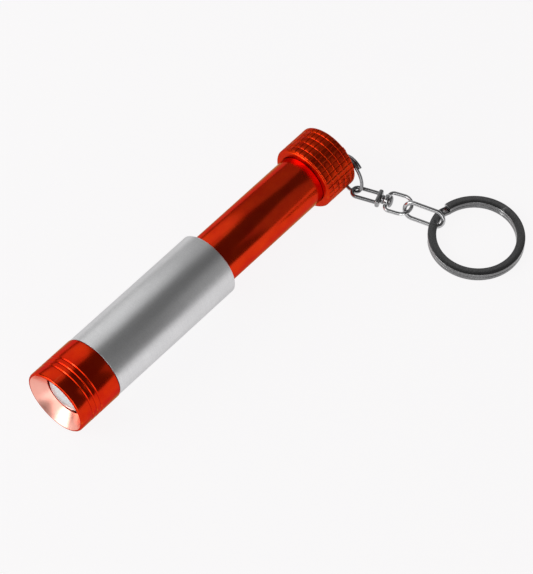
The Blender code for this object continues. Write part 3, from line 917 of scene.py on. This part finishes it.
@dataclass
class TailCap:
    """The cap with its cross-cut grip, its lug, its spring and its contact."""

    axis: Axis
    flutes: int = 36
    facets: int = 4
    root: float = 8.76
    root_margin: float = 0.02
    nose: Profile = ((0.0, 8.5), (0.26, 8.76))
    grip_rows: tuple[float, ...] = (0.4, 2.2, 4.3, 6.4, 8.45, 10.0)
    tail: Profile = ((10.1, 8.68), (10.26, 8.45))
    pad_height: float = 0.18
    pad_margin: float = 0.14
    pad_rounding: float = 0.035
    pad_angle: float = 24.0
    mouth_bore: float = 7.06
    mouth_end: float = 91.3
    bore: float = 6.6
    bore_end: float = 97.4
    lug_half: float = 3.95
    lug_thickness: float = 1.8
    lug_hole: float = 1.15
    lug_corner: float = 1.75
    lug_root: float = 99.8
    lug_trim: float = 0.25
    lug_rounding: float = 0.25
    lug_hole_sides: int = 40

    def group_of(self, polygon: bpy.types.MeshPolygon, rows: list[float]) -> tuple[int, int] | None:
        """Return the group of pads that a face belongs to. Pads of one group never touch each other.

        Args:
            polygon: A face of the blank.
            rows: Stations between the rows of pads.

        Returns:
            Whether its flute and its row are odd, or nothing for a face off the grip's root.
        """
        reach = polygon.center - self.axis.start
        station = -reach.x / MM
        off_root = abs(math.hypot(reach.y, reach.z) - self.root * MM)
        if off_root >= self.root_margin * MM or not rows[0] < station < rows[-1]:
            return None
        flute = math.floor((math.atan2(reach.z, reach.y) % math.tau) / (math.tau / self.flutes))
        row = sum(station > edge for edge in rows) - 1
        return flute % 2, row % 2

    def build_grip(self) -> None:
        """Turn the blank, then raise the pads of the grip one group at a time."""
        _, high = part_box("tail_cap")
        start = station_of(self.axis, high.x)
        rows = [start + station for station in self.grip_rows]
        profile = [(self.bore_end, self.bore), (self.mouth_end, self.bore), (self.mouth_end, self.mouth_bore)]
        profile += [(start, self.mouth_bore)] + [(start + station, radius) for station, radius in self.nose]
        profile += [(station, self.root) for station in rows]
        profile += [(start + station, radius) for station, radius in self.tail]
        piece = Workpiece("knurled_cap")
        piece.turn(self.axis, profile, self.flutes * self.facets)
        piece.close()
        for group in ((0, 0), (0, 1), (1, 0), (1, 1)):
            piece.body.data.update()
            bpy.ops.object.mode_set(mode="EDIT")
            piece.select_faces(lambda polygon: self.group_of(polygon, rows) == group)
            bpy.ops.mesh.inset(thickness=self.pad_margin * MM, depth=self.pad_height * MM)
            bpy.ops.object.mode_set(mode="OBJECT")
        piece.round_edges(self.pad_rounding, segments=1, angle=self.pad_angle)
        piece.hand_over("cap", "tail_cap", Slot.ORANGE, ORANGE_GRIP.make())

    def build_lug(self) -> None:
        """Shape the lug behind the cap and drill it for the split ring."""
        low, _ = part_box("tail_cap")
        hole, _ = joint("small_ring_swing")
        end = station_of(self.axis, low.x) - self.lug_trim
        middle = (end + self.lug_root) / 2
        offset = hole - self.axis.start
        across = Vector((0.0, offset.y, offset.z)).normalized()
        thin = across.cross(self.axis.back)
        place = Matrix((self.axis.back, across, thin)).transposed().to_4x4()
        place.translation = self.axis.at(middle)
        piece = Workpiece("chain_lug")
        size = Vector((end - self.lug_root, 2 * self.lug_half, self.lug_thickness)) * MM
        piece.block(place, size)

        def is_far_corner(first: Vector, second: Vector) -> bool:
            """Return whether an edge runs through the lug's thickness at its far end."""
            runs_through = abs((second - first).dot(thin)) > size.z / 2
            return runs_through and (first - place.translation).dot(self.axis.back) > 0.0

        piece.select_edges(is_far_corner)
        bpy.ops.mesh.bevel(offset=self.lug_corner * MM, segments=4)
        piece.close()
        piece.round_edges(self.lug_rounding, segments=3)
        across_lug = Axis(hole - thin * (self.lug_thickness * MM), thin)
        piece.drill(across_lug, 0.0, 2 * self.lug_thickness, self.lug_hole, self.lug_hole_sides)
        piece.hand_over("cap", "tail_cap", Slot.ORANGE, ORANGE.make())

    def build(self) -> None:
        """Build and dress every piece of the cap."""
        self.build_grip()
        self.build_lug()
        dress("tail_spring", BRIGHT.make())
        dress("contact_disc", BRASS.make())


# ---------------------------------------------------------------------------- the chain


@dataclass
class SmallRing:
    """The split ring in the lug: one and a half turns of round wire."""

    wire: float = 0.45
    pitch: float = 1.0
    steps: int = 36
    rounding: float = 0.08

    def build(self) -> None:
        """Wind the ring from the lug's hole and the bail's place on it."""
        hole, hole_axis = joint("small_ring_swing")
        bail, _ = joint("bail_swing")
        tangent = -hole_axis
        chord = bail - hole
        sideways = chord.dot(tangent)
        reach = (chord - tangent * sideways).normalized()
        radius = chord.length_squared / (2 * chord.dot(reach))
        normal = (-reach).cross(tangent).normalized()
        centre = hole + reach * radius
        start = centre - tangent * radius - normal * (self.pitch * MM / 2)
        piece = Wire("small_ring_wire", start, -reach, normal)
        piece.round_section(self.wire)
        for climb in (0.0, self.pitch, 0.0):
            piece.bend(radius / MM, 180.0, self.steps, climb)
        piece.close()
        piece.round_edges(self.rounding)
        piece.hand_over("small_ring", "small_split_ring", Slot.BRIGHT, NICKEL_PAINTED_SHADE.make())


@dataclass
class Swivel:
    """The swivel: a wire bail with a swaged bar, a rivet and the loop that turns on it."""

    wire: float = 0.5
    bail_half: float = 1.5
    bail_back: float = 1.3
    bail_steps: int = 20
    bar: Triple = (5.32, 6.5, 2.3)
    bar_width: float = 4.6
    bar_rounding: float = 0.45
    bar_overrun: float = 1.0
    rivet: Profile = (
        (5.3, 0.35), (5.36, 0.55), (5.5, 0.7), (6.65, 0.7), (6.65, 1.1), (6.75, 1.2), (7.2, 1.2),
        (7.3, 1.1), (7.3, 0.7), (8.8, 0.7), (8.8, 1.5), (8.9, 1.58), (9.1, 1.56), (9.3, 1.4),
        (9.45, 1.1), (9.55, 0.7), (9.6, 0.3),
    )
    rivet_sides: int = 48
    rivet_rounding: float = 0.05
    rivet_hole: float = 0.95
    hole_sides: int = 36
    loop_half: float = 2.85
    loop_corner: float = 1.3
    loop_reach: float = 14.6
    loop_roll: float = -2.0
    loop_steps: int = 32
    corner_steps: int = 12
    eye_radius: float = 1.7
    eye_rounding: float = 0.2
    eye_sides: int = 40
    eye_overrun: float = 0.4
    axis: Axis = field(init=False)
    side: Vector = field(init=False)
    up: Vector = field(init=False)
    loop_bar: float = field(init=False)

    def __post_init__(self) -> None:
        """Read the swivel's line and its level side from the joints."""
        start, _ = joint("bail_swing")
        turning, along = joint("swivel_turn")
        self.axis = Axis(start, along)
        self.side = along.cross(Vector((0.0, 0.0, 1.0))).normalized()
        self.up = along.cross(self.side).normalized()
        self.loop_bar = (turning - start).length / MM

    def point(self, along: float, across: float, side: Vector) -> Vector:
        """Return a point beside the swivel's line.

        Args:
            along: The distance along the line in millimetres.
            across: The distance to the side in millimetres.
            side: The direction of the side.

        Returns:
            The point.
        """
        return self.axis.at(along) + side * (across * MM)

    def build_bail(self) -> None:
        """Bend the bail and close it with the swaged bar that the rivet goes through."""
        front, back, height = self.bar
        foot = (front + back) / 2
        arc = self.bail_half - self.bail_back
        piece = Wire("bail_wire", self.point(foot, self.bail_half, self.side), -self.axis.back, self.up)
        piece.round_section(self.wire)
        piece.run(foot - arc)
        piece.bend(self.bail_half, 180.0, self.bail_steps)
        piece.run(foot - arc)
        piece.close()
        place = Matrix((self.axis.back, self.side, self.up)).transposed().to_4x4()
        place.translation = self.axis.at(foot)
        bar = Workpiece("bail_bar")
        bar.block(place, Vector((back - front, self.bar_width, height)) * MM)
        bar.close()
        bar.round_edges(self.bar_rounding, segments=4)
        piece.combine(bar, Combining.JOIN)
        overrun = self.bar_overrun
        piece.drill(self.axis, front - overrun, back + overrun, self.rivet_hole, self.hole_sides)
        piece.hand_over("bail", "swivel_bail", Slot.BRIGHT, NICKEL_PAINTED_SHADE.make())

    def build_rivet(self) -> None:
        """Turn the rivet with its two collars and its domed head."""
        piece = Workpiece("rivet")
        piece.turn(self.axis, self.rivet, self.rivet_sides)
        piece.close()
        piece.round_edges(self.rivet_rounding)
        piece.hand_over("bail", "swivel_rivet", Slot.BRIGHT, NICKEL_PAINTED_SHADE.make())

    def build_loop(self) -> None:
        """Bend the loop in one closed run from the middle of its bar, and set the eye on it."""
        turn = Quaternion(self.axis.back, math.radians(-self.loop_roll))
        side, flat = turn @ self.side, turn @ self.up
        half_bar = self.loop_half - self.loop_corner
        leg = self.loop_reach - self.loop_half - self.loop_bar - self.loop_corner
        piece = Wire("loop_wire", self.axis.at(self.loop_bar), side, flat)
        piece.round_section(self.wire)
        piece.run(half_bar)
        piece.bend(self.loop_corner, -90.0, self.corner_steps)
        piece.run(leg)
        piece.bend(self.loop_half, -180.0, self.loop_steps)
        piece.run(leg)
        piece.bend(self.loop_corner, -90.0, self.corner_steps)
        piece.run(half_bar)
        piece.close()
        eye = Workpiece("loop_eye")
        front, back = self.loop_bar - self.wire, self.loop_bar + self.wire
        eye.turn(self.axis, [(front, self.eye_radius), (back, self.eye_radius)], self.eye_sides)
        eye.close()
        eye.round_edges(self.eye_rounding, segments=3)
        piece.combine(eye, Combining.JOIN)
        overrun = self.eye_overrun
        piece.drill(self.axis, front - overrun, back + overrun, self.rivet_hole, self.hole_sides)
        piece.hand_over("loop", "swivel_loop", Slot.BRIGHT, BRIGHT.make())

    def build(self) -> None:
        """Build every piece of the swivel."""
        self.build_bail()
        self.build_rivet()
        self.build_loop()


@dataclass
class OvalLink:
    """The oval link between the swivel's loop and the key ring."""

    wire: float = 0.55
    width: float = 4.6
    steps: int = 28

    def build(self) -> None:
        """Bend the link in one closed run round its middle."""
        low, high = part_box("chain_link")
        middle = (low + high) / 2
        end, across = joint("key_ring_swing")
        along = (end - middle).normalized()
        bend = self.width / 2
        straight = 2 * ((end - middle).length / MM - bend)
        start = middle + across * (bend * MM)
        piece = Wire("oval_link", start, along, along.cross(across))
        piece.round_section(self.wire)
        piece.run(straight / 2)
        piece.bend(bend, -180.0, self.steps)
        piece.run(straight)
        piece.bend(bend, -180.0, self.steps)
        piece.run(straight / 2)
        piece.close()
        piece.hand_over("link", "chain_link", Slot.BRIGHT, BRIGHT.make())


@dataclass
class KeyRing:
    """The flat split ring that lies on the table, with a short step between its turns.

    Its ends, its step and its lean are in degrees. It leans up towards the link.
    """

    outer: float = 12.35
    width: float = 2.2
    thickness: float = 1.1
    pitch: float = 1.2
    corner: float = 0.14
    rounding: float = 0.05
    rounding_angle: float = 40.0
    turn_steps: tuple[int, int, int] = (92, 8, 104)
    low_end: float = 314.5
    top_end: float = 260.4
    step: float = 15.0
    lean: float = 1.0

    def build(self) -> None:
        """Wind the lower turn, the step and the upper turn."""
        low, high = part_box("key_ring")
        centre = Vector(((low.x + high.x) / 2, (low.y + high.y) / 2, low.z))
        link_low, link_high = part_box("chain_link")
        end, _ = joint("key_ring_swing")
        towards_link = (link_low + link_high) / 2 - end
        towards_link.z = 0.0
        towards_link.normalize()
        level = Vector((0.0, 0.0, 1.0))
        hinge = towards_link.cross(level)
        lean = Quaternion(hinge, math.radians(self.lean))
        resting = centre - towards_link * (self.outer * MM)
        middle = resting + lean @ (centre - resting)
        flat = lean @ level
        radius = self.outer - self.width / 2
        first = Quaternion(level, math.radians(self.low_end)) @ Vector((1.0, 0.0, 0.0))
        out = lean @ first
        start = middle + out * (radius * MM) + flat * (self.thickness * MM / 2)
        piece = Wire("key_ring_wire", start, flat.cross(out), flat)
        piece.flat_section(self.width, self.thickness, self.corner)
        angles = (self.top_end + 360.0 - self.low_end, self.step, 360.0 - self.step)
        for angle, steps, climb in zip(angles, self.turn_steps, (0.0, self.pitch, 0.0)):
            piece.bend(radius, angle, steps, climb)
        piece.close()
        piece.round_edges(self.rounding, segments=2, angle=self.rounding_angle)
        piece.hand_over("key_ring", "key_ring", Slot.DARK, DARK.make())


# ---------------------------------------------------------------------------- studio


@dataclass(frozen=True)
class Panel:
    """A soft light panel that faces the torch. Azimuth and elevation are in degrees."""

    name: str
    azimuth: float
    elevation: float
    distance: float
    size: tuple[float, float]
    radiance: float

    def build(self, middle: Vector) -> None:
        """Hang the panel.

        Args:
            middle: The point that it faces.
        """
        azimuth, elevation = math.radians(self.azimuth), math.radians(self.elevation)
        level = math.cos(elevation)
        way = Vector((level * math.cos(azimuth), level * math.sin(azimuth), math.sin(elevation)))
        lamp = bpy.data.lights.new(self.name, "AREA")
        lamp.shape = "RECTANGLE"
        lamp.size, lamp.size_y = self.size
        lamp.energy = self.radiance * math.pi * self.size[0] * self.size[1]
        holder = bpy.data.objects.new(self.name, lamp)
        holder.location = middle + way * self.distance
        holder.rotation_euler = way.to_track_quat("Z", "Y").to_euler()
        bpy.context.scene.collection.objects.link(holder)


@dataclass
class Studio:
    """A pale table that glows a little, soft light panels and a long lens, whose length is in millimetres."""

    table_size: float = 6.0
    table_gap: float = 0.00002
    table_tone: Triple = (0.955, 0.945, 0.95)
    table_glow: float = 0.95
    table_diffuse: float = 0.04
    table_mottle: float = 0.97
    panels: tuple[Panel, ...] = (
        Panel("front_panel", -38.0, 24.0, 0.9, (0.56, 0.72), 3.6),
        Panel("high_panel", 8.0, 44.0, 0.9, (1.0, 0.46), 1.7),
        Panel("right_panel", 50.0, 17.0, 0.9, (0.55, 0.7), 1.7),
        Panel("left_card", -92.0, 42.0, 0.25, (0.18, 0.3), 0.55),
        Panel("left_panel", -123.0, 32.0, 1.2, (1.5, 1.25), 0.24),
        Panel("near_card", 133.0, 24.0, 0.28, (0.16, 0.22), 0.26),
    )
    ceiling: float = 0.11
    lens: float = 205.0
    clip_start: float = 0.01
    camera_place: Triple = (0.34694, 0.30092, 0.67065)
    camera_aim: Triple = (-0.002984, -0.011113, 0.0)

    def build_table(self) -> None:
        """Lay the table under the lowest point of the torch."""
        deselect()
        low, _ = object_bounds()
        height = low[2] - self.table_gap
        bpy.ops.mesh.primitive_plane_add(size=self.table_size, location=(0.0, 0.0, height))
        table = bpy.context.object
        table.name = "table"
        sheet = Sheet("table_finish")
        tone = tuple(share * self.table_diffuse for share in self.table_tone)
        mottle = sheet.noise((0.02, 0.02, 0.02), 2.0)
        softer = tuple(share * self.table_mottle for share in tone)
        sheet.feed("Base Color", sheet.mix(mottle, opaque(softer), opaque(tone)))
        sheet.fix(Roughness=0.9, Emission_Color=opaque(self.table_tone), Emission_Strength=self.table_glow)
        table.data.materials.append(sheet.material)
        table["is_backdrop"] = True

    def build_light(self) -> None:
        """Hang the panels and dim the room."""
        low, high = (Vector(corner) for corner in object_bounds())
        middle = (low + high) / 2
        for panel in self.panels:
            panel.build(middle)
        world = bpy.data.worlds.new("room")
        world.use_nodes = True
        background = world.node_tree.nodes["Background"]
        background.inputs["Color"].default_value = opaque((1.0, 1.0, 1.0))
        background.inputs["Strength"].default_value = self.ceiling
        bpy.context.scene.world = world

    def build_camera(self) -> None:
        """Stand the camera in front of the torch, above it and to its side."""
        lens = bpy.data.cameras.new("camera")
        lens.lens = self.lens
        lens.clip_start = self.clip_start
        camera = bpy.data.objects.new("camera", lens)
        camera.location = self.camera_place
        way = Vector(self.camera_aim) - Vector(self.camera_place)
        camera.rotation_euler = way.to_track_quat("-Z", "Y").to_euler()
        bpy.context.scene.collection.objects.link(camera)
        bpy.context.scene.camera = camera

    def build(self) -> None:
        """Set up the whole studio."""
        self.build_table()
        self.build_light()
        self.build_camera()
        bpy.context.scene.view_settings.view_transform = "Standard"


def main() -> None:
    """Build the camera and the studio, then every sub-assembly from the beam end to the key ring."""
    logging.basicConfig(level=logging.INFO, format="%(message)s")
    axis = torch_axis()
    Studio().build()
    torch = (ZoomHead(axis), BatteryTube(axis), TailCap(axis))
    chain = (SmallRing(), Swivel(), OvalLink(), KeyRing())
    for assembly in torch + chain:
        assembly.build()
        LOG.info("%s is built", type(assembly).__name__)


if __name__ == "__main__":
    main()
